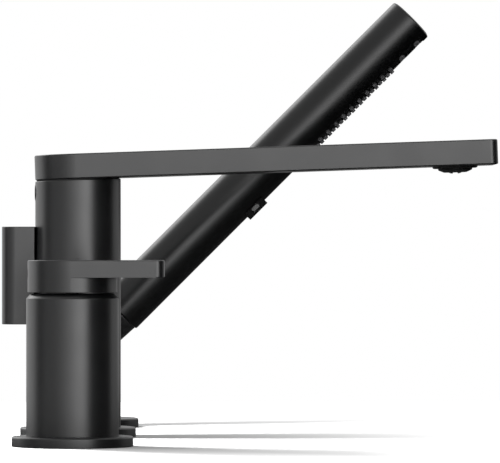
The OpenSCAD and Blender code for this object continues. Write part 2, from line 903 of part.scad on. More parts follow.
module riser_tube() {
    color("#b08d3e") translate([tubes_x, 0, 0])
        tube(riser_r, riser_bore_r, diverter_z + riser_rise, spigot_low + riser_socket - web_gap);
}

// Places of the feed, riser and return passages on the valve's face
valve_ports = [[0, 0], [valve_port_x, 0], [0, -valve_port_x]];

module valve_body() {
    color("#b08d3e") difference() {
        on_valve() difference() {
            rod(valve_r, -valve_end, valve_end);
            rod(chamber_r, chamber_floor, valve_end + cut);
            for (place = valve_ports) translate(place) rod(valve_port_r, -tubes_x, chamber_floor + cut);
        }
        at_tubes() {
            rod(tube_r + seat_fit, diverter_z - 2 * valve_r, diverter_z - tube_drop);
            rod(tube_bore_r, diverter_z - 2 * valve_r, diverter_z);
        }
        translate([tubes_x, 0, diverter_z]) rotate([-90, 0, 0]) rod(valve_port_r, 0, tubes_y);
        translate([tubes_x, 0, diverter_z]) {
            rod(riser_r + seat_fit, riser_rise, 2 * valve_r);
            rod(riser_bore_r, valve_port_x, 2 * valve_r);
        }
    }
}

module valve_fixed_disc() {
    color("#eeeeea") on_valve() difference() {
        rod(valve_disc_r, chamber_floor, chamber_floor + valve_disc_t);
        for (place = valve_ports) translate(place)
            rod(valve_port_r, chamber_floor - cut, chamber_floor + valve_disc_t + cut);
    }
}

// The slot in its face joins the feed to the riser at rest, and to the return when turned
module valve_turning_disc() {
    color("#eeeeea") on_valve() difference() {
        rod(valve_disc_r, turning_disc_s, turning_disc_s + valve_disc_t);
        translate([valve_port_x / 2, 0, turning_disc_s - cut]) linear_extrude(cut + valve_slot_depth)
            rotate(90) obround(valve_port_x + 2 * valve_port_r, 2 * valve_port_r);
    }
}

module valve_stem() {
    color("#b08d3e") on_valve() {
        rod(valve_disc_r, stem_flange_s, stem_flange_s + valve_flange_t);
        rod(valve_stem_r, stem_flange_s, handle_s - free_gap);
        translate([-valve_side / 2, -valve_side / 2, stem_flange_s])
            cube([valve_side, valve_side, handle_s + valve_square_len - stem_flange_s]);
    }
}

module valve_gland() {
    color("#b08d3e") on_valve()
        tube(chamber_r - seat_fit, valve_bush_r + seat_fit, gland_s, valve_end);
}

// Screwed through the column's rear wall into the gland
module valve_bush() {
    color("#b08d3e") on_valve()
        tube(valve_bush_r, valve_stem_r + run_fit, gland_s, column_r - valve_bush_sink);
}

// Faces away from the spout's front, out of the handle's far side
module beside_square() {
    translate([-handle_s - handle_screw_s, valve_side / 2, diverter_z]) rotate([-90, 0, 0]) children();
}

module diverter_handle() {
    socket = valve_side + 2 * seat_fit;
    straight = handle_depth - handle_w / 2;
    color("#232425") difference() {
        translate([-handle_s, 0, diverter_z - handle_h / 2]) linear_extrude(handle_h) {
            translate([-straight, -handle_w / 2]) square([straight, handle_w]);
            translate([-straight, 0]) circle(d = handle_w);
        }
        on_valve() translate([-socket / 2, -socket / 2, handle_s - cut])
            cube([socket, socket, cut + valve_square_len + free_gap]);
        beside_square() rod(handle_screw_d / 2 + seat_fit, 0, handle_w);
    }
}

module diverter_screw() {
    color("#a8acb0") beside_square()
        grub_screw(handle_screw_d / 2, handle_screw_len, handle_key_r, handle_key_depth);
}

// Spout arm

module arm_gasket() {
    color("#141414") on_arm() tube(column_r - arm_gasket_inset, spigot_r + web_gap, -arm_gap, 0);
}

module arm_spigot() {
    color("#b08d3e") difference() {
        union() {
            difference() {
                rod(spigot_r, spigot_low, arm_z + arm_t);
                on_arm() translate([-beyond / 2, -beyond / 2, 0]) cube(beyond);
            }
            on_arm() rod(spigot_flange_r, -cut, spigot_flange_t);
        }
        translate([tubes_x, 0, 0]) {
            rod(riser_r + seat_fit, spigot_low - cut, spigot_low + riser_socket);
            rod(riser_bore_r, spigot_low, arm_z + arm_t);
        }
        for (drop = orings_drop) tube(
            column_r,
            spigot_r - oring_depth,
            arm_z - drop - oring_h / 2,
            arm_z - drop + oring_h / 2
        );
        tube(column_r, spigot_r - lock_groove, lock_z - lock_groove_h / 2, lock_z + lock_groove_h / 2);
    }
}

module spigot_orings() {
    inner = spigot_r - oring_depth + seat_fit;
    color("#141414") for (drop = orings_drop) tube(
        spigot_r,
        inner,
        arm_z - drop - oring_h / 2 + seat_fit,
        arm_z - drop + oring_h / 2 - seat_fit
    );
}

module spout_arm() {
    color("#232425") on_arm() difference() {
        linear_extrude(arm_t) tongue(column_r, arm_reach, arm_corner_r);
        rod(spigot_flange_r + seat_fit, -cut, spigot_flange_t);
        translate([tubes_x, 0, 0]) rod(riser_bore_r, -cut, waterway_floor + cut);
        translate([0, -waterway_w / 2, waterway_floor]) cube([aerator_x, waterway_w, waterway_h]);
        translate([aerator_x, 0, 0]) rod(aerator_thread_d / 2 + seat_fit, -cut, waterway_floor + waterway_h);
    }
}

// Faces outwards through the column's rear wall, from the bottom of the spigot's lock groove
module behind_lock() {
    translate([lock_groove - spigot_r, 0, lock_z]) rotate([0, -90, 0]) children();
}

module lock_screw() {
    color("#a8acb0") behind_lock() grub_screw(lock_screw_d / 2, lock_screw_len, lock_key_r, grub_key_depth);
}

// Slightly domed, so that its middle stands a little proud of the column
module lock_plug() {
    face = column_r - spigot_r + lock_groove;
    dome_r = (pow(lock_plug_d / 2, 2) + pow(plug_proud, 2)) / (2 * plug_proud);
    color("#232425") behind_lock() intersection() {
        rod(lock_plug_d / 2, face - plug_t, face + plug_proud);
        translate([0, 0, face + plug_proud - dome_r]) sphere(r = dome_r);
    }
}

module at_aerator() {
    on_arm() translate([aerator_x, 0, 0]) children();
}

module aerator_collar() {
    color("#232425") at_aerator() difference() {
        union() {
            rod(aerator_flange_d / 2, -aerator_flange_t, 0);
            rod(aerator_collar_d / 2, -aerator_drop, 0);
            rod(aerator_thread_d / 2, -aerator_flange_t, aerator_thread_len);
        }
        rod(insert_d / 2 + seat_fit, -aerator_drop - cut, aerator_thread_len + cut);
    }
}

module aerator_insert() {
    low = -aerator_drop - insert_cone_h;
    color("#1b1c1d") at_aerator() difference() {
        union() {
            rod(insert_d / 2, -aerator_drop, aerator_thread_len);
            translate([0, 0, low]) cylinder(d1 = insert_tip_d, d2 = insert_d, h = insert_cone_h);
        }
        translate([-coin_slot_w / 2, -insert_d, low - cut])
            cube([coin_slot_w, 2 * insert_d, coin_slot_depth + cut]);
        rod(coin_slot_w / 2, low - cut, aerator_thread_len + cut);
    }
}

// Shower holder

// Straight up and then round the bend
module bent_rod(r, low) {
    at_shower() rod(r, low, holder_z - bend_reach);
    at_shower() translate([bend_r, 0, holder_z - bend_reach]) rotate([90, 0, 0]) mirror([1, 0, 0])
        rotate_extrude(angle = shower_tilt) translate([bend_r, 0]) circle(r = r);
}

module holder_tube() {
    color("#232425") difference() {
        union() {
            bent_rod(holder_r, rosette_t);
            at_shower() rod(holder_foot_r, flange_top - holder_foot_len, rosette_t + cut);
        }
        bent_rod(holder_bore_r, flange_top - holder_foot_len - cut);
    }
}

module holder_socket() {
    color("#232425") on_stick() difference() {
        tube(holder_r, holder_bore_r, bend_reach, sleeve_top);
        rod(liner_r + run_fit, liner_low - free_gap, sleeve_top + cut);
    }
}

module turning_liner() {
    color("#1b1c1d") on_stick() difference() {
        union() {
            rod(liner_r, liner_low, liner_top);
            rod(holder_r, liner_top - liner_flange_t, liner_top);
        }
        rod(inlet_r + free_gap, liner_low - cut, liner_top + cut);
    }
}

// Hand shower

module inlet_spigot() {
    low = stick_start - inlet_len;
    color("#1b1c1d") on_stick() difference() {
        union() {
            rod(inlet_r, low, stick_start + cut);
            rod(stick_inner_r - seat_fit, stick_start, stick_start + collar_len);
        }
        rod(hose_thread_d / 2, low - cut, low + hose_thread_len);
        rod(inlet_passage_d / 2, low, valve_bore_low + cut);
        rod(water_tube_d / 2 + seat_fit, valve_bore_low, stick_start + collar_len + cut);
    }
}

module check_valve() {
    color("#d8d4c8") on_stick()
        tube(water_tube_d / 2, check_valve_bore_d / 2, valve_bore_low, valve_bore_low + check_valve_len);
}

// One length up to the shutter's housing and one from there to the spray manifold
module water_tubes() {
    low = valve_bore_low + check_valve_len;
    high = manifold_low + manifold_flange_t;
    reach = shutter_body_len / 2 - tube_grip;
    color("#d8d4c8") on_stick() {
        tube(water_tube_d / 2, water_bore_d / 2, low, button_t - reach);
        tube(water_tube_d / 2, water_bore_d / 2, button_t + reach, high);
    }
}

module stick_tube() {
    opening_len = block_len + 2 * seat_fit;
    opening_w = block_w + 2 * seat_fit;
    color("#232425") on_stick() difference() {
        tube(stick_r, stick_inner_r, stick_start, stick_top);
        translate([0, -window_w / 2, window_low]) cube([stick_d, window_w, window_len]);
        translate([0, -opening_w / 2, button_t - opening_len / 2]) cube([stick_d, opening_w, opening_len]);
    }
}

module spray_manifold() {
    high = stick_top - end_cap_sink - end_cap_t;
    inner_r = manifold_r - manifold_wall;
    color("#d8d4c8") on_stick() difference() {
        union() {
            rod(manifold_r, manifold_low, high);
            rod(stick_inner_r - seat_fit, manifold_low, manifold_low + manifold_flange_t);
        }
        rod(water_tube_d / 2 + seat_fit, manifold_low - cut, manifold_low + manifold_flange_t);
        rod(inner_r, manifold_low + manifold_flange_t, high - manifold_wall);
        translate([0, -window_slot_w / 2, window_low + manifold_flange_t])
            cube([stick_d, window_slot_w, window_len - 2 * manifold_flange_t - manifold_wall]);
    }
}

// Five rows: the full rows in line, and two shorter rows between them at half a pitch
module at_nozzles() {
    for (row = [-2:2], place = [0:nozzle_count - 1 - abs(row) % 2]) {
        along = nozzle_first + (place + abs(row) % 2 / 2) * nozzle_pitch;
        translate([0, 0, stick_top - along]) rotate([0, 0, row * row_angle]) rotate([0, 90, 0]) children();
    }
}

// The part of a tube round the stick's axis that lies in the spray window
module window_shell(r, bore_r, margin) {
    intersection() {
        tube(r, bore_r, window_low + margin, window_high - margin);
        translate([0, margin - window_w / 2, window_low]) cube([stick_d, window_w - 2 * margin, window_len]);
    }
}

// An oval across the stick at each jet, from the stick's axis outwards
module at_jets(length, width) {
    for (place = jet_places) translate([0, 0, stick_top - place])
        rotate([0, 90, 0]) linear_extrude(stick_d) obround(length, width);
}

// The nozzles, and a flush pad with a slit for each jet
module nozzle_mat() {
    root = mat_inner_r + mat_t / 2;
    color("#3a3b3c") on_stick() difference() {
        union() {
            window_shell(mat_outer_r, mat_inner_r, free_gap);
            at_nozzles() translate([0, 0, root])
                cylinder(d1 = nozzle_d, d2 = nozzle_tip_d, h = stick_r + nozzle_h - root);
            intersection() {
                tube(stick_r - pad_sink, root, window_low, window_high);
                at_jets(jet_len - 2 * pad_gap, jet_w - 2 * pad_gap);
            }
        }
        at_jets(jet_slit_len, jet_slit_w);
    }
}

module spray_plate() {
    color("#232425") on_stick() difference() {
        window_shell(stick_r, stick_r - plate_wall, seat_fit);
        at_nozzles() rod(nozzle_d / 2 + seat_fit, 0, stick_d);
        at_jets(jet_len, jet_w);
    }
}

module end_cap() {
    high = stick_top - end_cap_sink;
    color("#232425") on_stick() {
        rod(stick_inner_r - seat_fit, high - end_cap_t, high - end_cap_bevel);
        translate([0, 0, high - end_cap_bevel]) cylinder(
            r1 = stick_inner_r - seat_fit,
            r2 = stick_inner_r - seat_fit - end_cap_bevel,
            h = end_cap_bevel
        );
    }
}

// The button's own frame: x away from the stick's axis, y across the stick
module at_button() {
    on_stick() translate([0, 0, button_t]) children();
}

module bar_shape(near, far, margin) {
    translate([bar_r, near, 0]) rotate([-90, 0, 0]) linear_extrude(far - near)
        obround(bar_len + 2 * margin, bar_h + 2 * margin);
}

module button_block() {
    slot_t = shutter_t + 2 * disc_fit;
    color("#232425") at_button() difference() {
        translate([block_floor_r, -block_w / 2, -block_len / 2])
            cube([block_top_r - block_floor_r, block_w, block_len]);
        bar_shape(-block_w, block_w, run_fit);
        translate([0, -shutter_reach, -slot_t / 2]) cube([bar_r, 2 * shutter_reach, slot_t]);
    }
}

module shutter_shape(margin) {
    near = -shutter_hole_r - shutter_rim - margin;
    wide = shutter_far - near + margin;
    translate([near, near, -shutter_t / 2 - margin])
        cube([bar_r - near + margin, wide, shutter_t + 2 * margin]);
}

// Pushed from the far side it slides towards the near side and closes the waterway
module push_bar() {
    half = block_w / 2 - bar_recess;
    color("#2e2f30") at_button() difference() {
        bar_shape(-half, half + bar_travel, 0);
        shutter_shape(seat_fit);
    }
}

module shutter_plate() {
    color("#d8d4c8") at_button() difference() {
        shutter_shape(0);
        rod(shutter_hole_r, -shutter_t, shutter_t);
    }
}

module shutter_body() {
    half = shutter_body_len / 2;
    seat_len = block_len + 2 * seat_fit;
    slot_t = shutter_t + 2 * disc_fit;
    slot_low = -shutter_hole_r - shutter_rim - free_gap;
    color("#d8d4c8") at_button() difference() {
        rod(stick_inner_r - seat_fit, -half, half);
        rod(shutter_hole_r, -half, half);
        rod(water_tube_d / 2 + seat_fit, -half - cut, tube_grip - half);
        rod(water_tube_d / 2 + seat_fit, half - tube_grip, half + cut);
        translate([slot_low, -shutter_reach, -slot_t / 2]) cube([stick_r, 2 * shutter_reach, slot_t]);
        translate([block_floor_r - seat_fit, -stick_r, -seat_len / 2]) cube([stick_r, stick_d, seat_len]);
    }
}

rosette_mixer();
rosette_spout();
rosette_shower();
shank_mixer();
shank_spout();
shank_shower();
flange_gaskets();
rubber_washers();
steel_washers();
shank_nuts();
mixer_body();
port_bushes();
port_seals();
cartridge_housing();
fixed_disc();
moving_disc();
disc_driver();
cartridge_rotor();
pivot_pin();
ring_nut();
cover_ring();
lever_stem();
lever_handle();
lever_grub_screw();
lever_plug();
column_base();
spout_column();
column_tubes();
riser_tube();
valve_body();
valve_fixed_disc();
valve_turning_disc();
valve_stem();
valve_gland();
valve_bush();
diverter_handle();
diverter_screw();
arm_gasket();
arm_spigot();
spigot_orings();
spout_arm();
lock_screw();
lock_plug();
aerator_collar();
aerator_insert();
holder_tube();
holder_socket();
turning_liner();
inlet_spigot();
check_valve();
water_tubes();
stick_tube();
spray_manifold();
nozzle_mat();
spray_plate();
end_cap();
button_block();
push_bar();
shutter_plate();
shutter_body();
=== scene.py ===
"""Looks of the deck-mounted bath filler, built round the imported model."""

import json
import math

import bmesh
import bpy
from mathutils import Matrix, Vector


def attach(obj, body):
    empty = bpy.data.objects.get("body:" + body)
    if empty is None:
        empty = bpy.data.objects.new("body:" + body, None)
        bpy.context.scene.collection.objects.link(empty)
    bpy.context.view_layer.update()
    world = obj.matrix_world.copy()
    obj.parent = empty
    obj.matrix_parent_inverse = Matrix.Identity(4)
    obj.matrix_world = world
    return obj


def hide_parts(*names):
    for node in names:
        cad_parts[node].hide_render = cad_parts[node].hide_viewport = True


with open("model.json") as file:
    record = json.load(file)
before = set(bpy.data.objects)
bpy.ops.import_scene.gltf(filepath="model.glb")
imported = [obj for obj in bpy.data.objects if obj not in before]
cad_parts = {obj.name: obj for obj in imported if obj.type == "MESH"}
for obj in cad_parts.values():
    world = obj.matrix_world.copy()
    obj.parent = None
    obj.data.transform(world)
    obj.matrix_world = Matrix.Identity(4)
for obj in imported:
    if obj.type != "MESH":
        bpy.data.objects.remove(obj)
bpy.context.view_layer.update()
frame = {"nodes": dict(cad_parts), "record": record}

MM = 0.001
# Sides of a circle on the large pieces
ROUND = 160
# Angle in degrees from which an edge is sharp
CREASE = 28
# Gap that keeps two touching pieces apart
GAP = 0.05

# Sizes of the part in millimetres, as in its source
MIXER_Y = -130
SHOWER_Y = 145
DECK_STATIONS = (("mixer", MIXER_Y), ("spout", 0), ("shower", SHOWER_Y))
COLUMN_R = 24
ROSETTE_R = 32
ROSETTE_T = 5
ROSETTE_EDGE = 0.5
FOOT_R = 19.8
NECK_R = 22.8
BODY_Z = 5.6
FLANGE_LOW = 1
FLANGE_TOP = 3
SOCKET_TOP = 14
BUSH_ROOM_R = 14.75
BUSH_ROOM_TOP = 28
SHANK_R = 16
SHANK_BORE_R = 13.5
SHANK_PITCH = 1.5
SHANK_LOW = -52
MIXER_TOP = 80.8
MIXER_CHAMFER = 2
COVER_SEAT_R = 21.5
COVER_SEAT_Z = 75.32
NUT_SEAT_R = 20
NUT_SEAT_Z = 67.02
CARTRIDGE_SEAT_R = 17.7
CARTRIDGE_SEAT_Z = 40.8
PORT_CIRCLE_R = 8
PORT_R = 4.5
PASSAGE_R = 3
LEVER_Z = 82.3
LEVER_TOP = 99.5
LEVER_UNDER = 90.3
LEVER_REACH = 49.2
ROOF_Z = 88.3
SKIRT_R = 22.4
CORNER_R = 4.5
STEM_T = 7
STEM_W = 8
STEM_TOP = 96.6
LEVER_SCREW_Z = 92.3
ARM_Z = 144.7
ARM_T = 14
ARM_TILT = math.radians(2)
ARM_REACH = 235.1
ARM_GAP = 0.5
AERATOR_X = 212
AERATOR_R = 11
INSERT_R = 5.8
COIN_SLOT_W = 2.9
COLUMN_BORE_R = 20.5
SPIGOT_BORE_R = 19.05
SPIGOT_BORE_Z = 117.7
LOCK_Z = 137.2
LOCK_PLUG_R = 4.7
DIVERTER_Z = 90.6
HANDLE_IN = 24.05
HANDLE_OUT = 42.7
HANDLE_R = 8
HANDLE_H = 54.8
HOLDER_R = 12.45
HOLDER_BORE_R = 10.2
HOLDER_Z = 47.4
HOLDER_FOOT_R = 11.6
HOLDER_FOOT_LOW = -9
BEND_R = 34
SHOWER_TILT = math.radians(45)
BEND_REACH = BEND_R * math.tan(SHOWER_TILT / 2)
SLEEVE_TOP = 28.75
LINER_TOP = 29.8
LINER_LOW = 16.8
STICK_LOW = 30.1
STICK_R = 13.8
STICK_INNER_R = 12.3
STICK_TOP = 274.1
WINDOW_HIGH = 270.6
WINDOW_LOW = 167.1
WINDOW_W = 19
JET_PLACES = (7.8, 19.9)
BUTTON_T = 130.2
BLOCK_LEN = 14.1
BLOCK_W = 16
BLOCK_LOW_R = 9.6
BLOCK_TOP_R = 16.6
BAR_R = 13.5
BAR_LEN = 6.2
BAR_H = 3.4


# Shapes

def finish_mesh(name, verts, faces, matrix=None, crease=CREASE):
    """Makes a closed piece from millimetre points, smooth but for its creases."""
    mesh = bpy.data.meshes.new(name)
    mesh.from_pydata([tuple(c * MM for c in v) for v in verts], [], faces)
    obj = bpy.data.objects.new(name, mesh)
    bpy.context.scene.collection.objects.link(obj)
    if matrix is not None:
        mesh.transform(matrix)
    tidy(obj, crease)
    return obj


def tidy(obj, crease=CREASE):
    """Faces outward, smooth shading, and sharp edges where faces meet at more than the crease."""
    if "normals" not in obj.modifiers:
        even = obj.modifiers.new("normals", "WEIGHTED_NORMAL")
        even.keep_sharp = True
        even.weight = 100
    work = bmesh.new()
    work.from_mesh(obj.data)
    bmesh.ops.remove_doubles(work, verts=work.verts, dist=1e-7)
    bmesh.ops.dissolve_degenerate(work, edges=work.edges, dist=1e-7)
    bmesh.ops.recalc_face_normals(work, faces=work.faces)
    for face in work.faces:
        face.smooth = True
    limit = math.radians(crease)
    for edge in work.edges:
        if len(edge.link_faces) == 2:
            edge.smooth = edge.calc_face_angle() < limit
    work.to_mesh(obj.data)
    work.free()


def loft(rings, closed=False):
    """Points and quads through rings of equal count; open lofts get flat ends."""
    count = len(rings[0])
    verts = [p for ring in rings for p in ring]
    faces = []
    spans = len(rings) if closed else len(rings) - 1
    for i in range(spans):
        a = i * count
        b = (i + 1) % len(rings) * count
        for j in range(count):
            k = (j + 1) % count
            faces.append((a + j, a + k, b + k, b + j))
    if not closed:
        faces.append(tuple(range(count - 1, -1, -1)))
        last = (len(rings) - 1) * count
        faces.append(tuple(range(last, last + count)))
    return verts, faces


def soften(points, radii, steps=3):
    """Rounds the corners of a closed outline, with one radius for each corner."""
    out = []
    count = len(points)
    for i, point in enumerate(points):
        r = radii[i]
        here = Vector(point)
        back = Vector(points[i - 1]) - here
        on = Vector(points[(i + 1) % count]) - here
        corner = back.angle(on)
        if r <= 0 or corner > math.radians(176):
            out.append(tuple(here))
            continue
        run = min(r / math.tan(corner / 2), 0.45 * back.length, 0.45 * on.length)
        r = run * math.tan(corner / 2)
        back.normalize()
        on.normalize()
        centre = here + (back + on).normalized() * (r / math.sin(corner / 2))
        start = here + back * run - centre
        end = here + on * run - centre
        for k in range(steps + 1):
            out.append(tuple(centre + start.slerp(end, k / steps)))
    return out


def circle(r, z=0, count=ROUND):
    turns = [math.tau * i / count for i in range(count)]
    return [(r * math.cos(a), r * math.sin(a), z) for a in turns]


def lathe(name, profile, matrix=None, count=ROUND):
    """A ring turned from a closed profile of (radius, height)."""
    verts, faces = loft([circle(r, z, count) for r, z in profile], closed=True)
    return finish_mesh(name, verts, faces, matrix)


def turned(name, profile, matrix=None, count=ROUND):
    """A solid of revolution from an open profile of (radius, height), with flat ends."""
    verts, faces = loft([circle(r, z, count) for r, z in profile])
    return finish_mesh(name, verts, faces, matrix)


def rounding(edge, steps=3):
    """Steps (inset, drop) round a convex edge, from the side up to the face."""
    turns = [math.pi / 2 * i / steps for i in range(steps + 1)]
    return [(edge * (1 - math.cos(a)), edge * (1 - math.sin(a))) for a in turns]


def prism(name, outline, low, high, edge, matrix=None):
    """An upright solid from outline(inset), its upper and lower edges rounded."""
    rings = []
    for inset, drop in reversed(rounding(edge)):
        rings.append([(x, y, low + drop) for x, y in outline(inset)])
    for inset, drop in rounding(edge):
        rings.append([(x, y, high - drop) for x, y in outline(inset)])
    verts, faces = loft(rings)
    return finish_mesh(name, verts, faces, matrix)


def arc(x, y, r, start, end, steps):
    turns = [math.radians(start + (end - start) * i / steps) for i in range(steps + 1)]
    return [(x + r * math.cos(a), y + r * math.sin(a)) for a in turns]


def tongue(r, reach, corner, inset=0.0):
    """Flat arm seen from above: round at the rear, square in front with small corners."""
    side = r - corner
    nose = reach - corner
    return (
        arc(0, 0, r - inset, 90, 270, ROUND // 2)
        + arc(nose, -side, corner - inset, -90, 0, 8)
        + arc(nose, side, corner - inset, 0, 90, 8)
    )


def stadium(inset=0.0):
    """The diverter handle seen from above: flat towards the column, round on its outer side."""
    corner = 0.6
    flat = -HANDLE_IN
    centre = HANDLE_R - HANDLE_OUT
    side = HANDLE_R - corner
    return (
        arc(centre, 0, HANDLE_R - inset, 90, 270, 48)
        + arc(flat - corner, -side, corner - inset, -90, 0, 4)
        + arc(flat - corner, side, corner - inset, 0, 90, 4)
    )


def oval(length, width, inset=0.0):
    """A shape with two round ends, its length along the second axis."""
    r = width / 2 - inset
    rise = (length - width) / 2
    return arc(0, rise, r, 0, 180, 20) + arc(0, -rise, r, 180, 360, 20)


def box_solid(name, low, high, edge, matrix=None, steps=3):
    """A block with every edge rounded."""
    work = bmesh.new()
    bmesh.ops.create_cube(work, size=1)
    centre = [(a + b) / 2 for a, b in zip(low, high)]
    size = [b - a for a, b in zip(low, high)]
    for vert in work.verts:
        vert.co = [c + s * v for c, s, v in zip(centre, size, vert.co)]
    bmesh.ops.bevel(work, geom=work.edges[:], offset=edge, segments=steps, profile=0.5, affect="EDGES")
    verts = [tuple(v.co) for v in work.verts]
    faces = [tuple(v.index for v in f.verts) for f in work.faces]
    work.free()
    return finish_mesh(name, verts, faces, matrix)


def cut(obj, *cutters):
    """Takes the cutters out of the piece."""
    obj.modifiers.clear()
    for cutter in cutters:
        tool = obj.modifiers.new("cut", "BOOLEAN")
        tool.operation = "DIFFERENCE"
        tool.solver = "EXACT"
        tool.object = cutter
    graph = bpy.context.evaluated_depsgraph_get()
    mesh = bpy.data.meshes.new_from_object(obj.evaluated_get(graph))
    obj.modifiers.clear()
    obj.data = mesh
    for cutter in cutters:
        bpy.data.objects.remove(cutter)
    tidy(obj)
    return obj


def place(x=0.0, y=0.0, z=0.0):
    return Matrix.Translation((x * MM, y * MM, z * MM))


AT_MIXER = place(y=MIXER_Y)
AT_SHOWER = place(y=SHOWER_Y)
ON_ARM = place(z=ARM_Z) @ Matrix.Rotation(-ARM_TILT, 4, "Y")
ON_STICK = place(y=SHOWER_Y, z=HOLDER_Z) @ Matrix.Rotation(SHOWER_TILT, 4, "Y")
REARWARD = Matrix.Rotation(-math.pi / 2, 4, "Y")
BEHIND_STEM = AT_MIXER @ place(-STEM_T / 2, 0, LEVER_SCREW_Z) @ REARWARD


# Materials

# Most of a noise texture's values lie between these
NOISE_LOW = 0.3
NOISE_HIGH = 0.7


def new_material(name):
    material = bpy.data.materials.new(name)
    material.use_nodes = True
    tree = material.node_tree
    shader = tree.nodes["Principled BSDF"]
    return material, tree, shader


def node(tree, kind, **settings):
    made = tree.nodes.new(kind)
    for key, value in settings.items():
        if key in made.inputs:
            made.inputs[key].default_value = value
        else:
            setattr(made, key, value)
    return made


def place_map(tree, scale):
    coords = node(tree, "ShaderNodeTexCoord")
    mapping = node(tree, "ShaderNodeMapping", Scale=scale)
    tree.links.new(coords.outputs["Object"], mapping.inputs["Vector"])
    return mapping.outputs["Vector"]


def ramp(tree, factor, low, high):
    made = node(tree, "ShaderNodeMapRange")
    made.inputs["From Min"].default_value = NOISE_LOW
    made.inputs["From Max"].default_value = NOISE_HIGH
    made.inputs["To Min"].default_value = low
    made.inputs["To Max"].default_value = high
    tree.links.new(factor, made.inputs["Value"])
    return made.outputs["Result"]


def colours(tree, factor, first, second):
    made = node(tree, "ShaderNodeValToRGB")
    made.color_ramp.elements[0].position = NOISE_LOW
    made.color_ramp.elements[0].color = (*first, 1)
    made.color_ramp.elements[1].position = NOISE_HIGH
    made.color_ramp.elements[1].color = (*second, 1)
    tree.links.new(factor, made.inputs["Fac"])
    return made.outputs["Color"]


def bump(tree, shader, height, strength, distance):
    made = node(tree, "ShaderNodeBump", Strength=strength, Distance=distance)
    tree.links.new(height, made.inputs["Height"])
    tree.links.new(made.outputs["Normal"], shader.inputs["Normal"])


def noise(tree, scale, detail, stretch=(1, 1, 1)):
    made = node(tree, "ShaderNodeTexNoise", Scale=scale, Detail=detail)
    tree.links.new(place_map(tree, stretch), made.inputs["Vector"])
    return made.outputs["Fac"]


PAINT_LOW = (0.0058, 0.0060, 0.0064)
PAINT_HIGH = (0.0078, 0.0080, 0.0085)


def painted_black(name, depth=1.0, shine=0.5, shade_hollows=True):
    """Fine satin powder coat: a faint grain of baked powder over slow drifts in its sheen.
    Its shine is turned down in recesses and gaps by ambient occlusion, which is painted shade."""
    material, tree, shader = new_material(name)
    grain = noise(tree, 2600, 4)
    drift = noise(tree, 60, 3)
    darker, lighter = ([depth * c for c in tone] for tone in (PAINT_LOW, PAINT_HIGH))
    paint = colours(tree, drift, darker, lighter)
    tree.links.new(paint, shader.inputs["Base Color"])
    tree.links.new(ramp(tree, drift, 0.3, 0.33), shader.inputs["Roughness"])
    shader.inputs["IOR"].default_value = 1.5
    bump(tree, shader, grain, 0.05, 0.00005)
    shader.inputs["Specular IOR Level"].default_value = shine
    if not shade_hollows:
        return material
    # Painted shade: ambient occlusion takes the shine off in gaps, recesses and under overhangs, where
    # shade falls.
    crevice_shade = node(tree, "ShaderNodeAmbientOcclusion", Distance=0.003)
    crevice_shade.samples = 12
    unshaded_shine = node(tree, "ShaderNodeMapRange", interpolation_type="SMOOTHSTEP")
    unshaded_shine.inputs["From Min"].default_value = 0.3
    unshaded_shine.inputs["From Max"].default_value = 0.65
    unshaded_shine.inputs["To Max"].default_value = shine
    tree.links.new(crevice_shade.outputs["AO"], unshaded_shine.inputs["Value"])
    tree.links.new(unshaded_shine.outputs["Result"], shader.inputs["Specular IOR Level"])
    return material


def plain_plastic(name, first, second, rough, shine=0.5):
    material, tree, shader = new_material(name)
    grain = noise(tree, 1800, 3)
    drift = noise(tree, 90, 2)
    tree.links.new(colours(tree, drift, first, second), shader.inputs["Base Color"])
    tree.links.new(ramp(tree, grain, rough - 0.03, rough + 0.03), shader.inputs["Roughness"])
    shader.inputs["Specular IOR Level"].default_value = shine
    bump(tree, shader, grain, 0.08, 0.00006)
    return material


def turned_metal(name, first, second, rough):
    """Bare metal with the fine rings that a lathe leaves."""
    material, tree, shader = new_material(name)
    rings = noise(tree, 900, 2, (0.06, 0.06, 1))
    drift = noise(tree, 70, 3)
    tree.links.new(colours(tree, drift, first, second), shader.inputs["Base Color"])
    tree.links.new(ramp(tree, rings, rough - 0.06, rough + 0.06), shader.inputs["Roughness"])
    shader.inputs["Metallic"].default_value = 1
    bump(tree, shader, rings, 0.15, 0.00004)
    return material


SHADES = {
    "matt_black": painted_black("satin_black"),
    # The same satin black without its painted shade in recesses.
    "flat_black": painted_black("satin_black_flats", shade_hollows=False),
    # Painted shade: a darker, less shiny copy of the satin black, so that the stick's shaded underside
    # comes out dark.
    "stick_shaded_black": painted_black("satin_black_stick_shaded", depth=0.4, shine=0.4),
    "dull_black": plain_plastic(
        "soft_touch_black", (0.0030, 0.0030, 0.0032), (0.0042, 0.0042, 0.0044), 0.6, 0.08
    ),
    # Painted shade: a near black, dull paint for the lever's steel stem, so that the gap under the lever
    # cap reads as shaded.
    "gap_shade_black": painted_black("steel_stem_gap_shade", depth=0.8, shine=0.2),
    "bare_brass": turned_metal("turned_brass", (0.56, 0.40, 0.17), (0.68, 0.51, 0.25), 0.3),
    "steel": turned_metal("turned_steel", (0.48, 0.49, 0.50), (0.60, 0.61, 0.62), 0.32),
    "black_rubber": plain_plastic("seal_rubber", (0.010, 0.010, 0.010), (0.016, 0.016, 0.016), 0.72),
    "nozzle_silicone": plain_plastic("nozzle_silicone", (0.080, 0.080, 0.084), (0.110, 0.110, 0.115), 0.45),
    "white_ceramic": plain_plastic("lapped_ceramic", (0.82, 0.82, 0.80), (0.88, 0.88, 0.86), 0.12),
    "pale_plastic": plain_plastic("pale_acetal", (0.66, 0.64, 0.59), (0.73, 0.71, 0.66), 0.42),
    "grey_plastic": plain_plastic("grey_acetal", (0.09, 0.11, 0.14), (0.13, 0.16, 0.19), 0.4),
    "black_plastic": plain_plastic("black_acetal", (0.011, 0.011, 0.012), (0.016, 0.016, 0.017), 0.42),
}


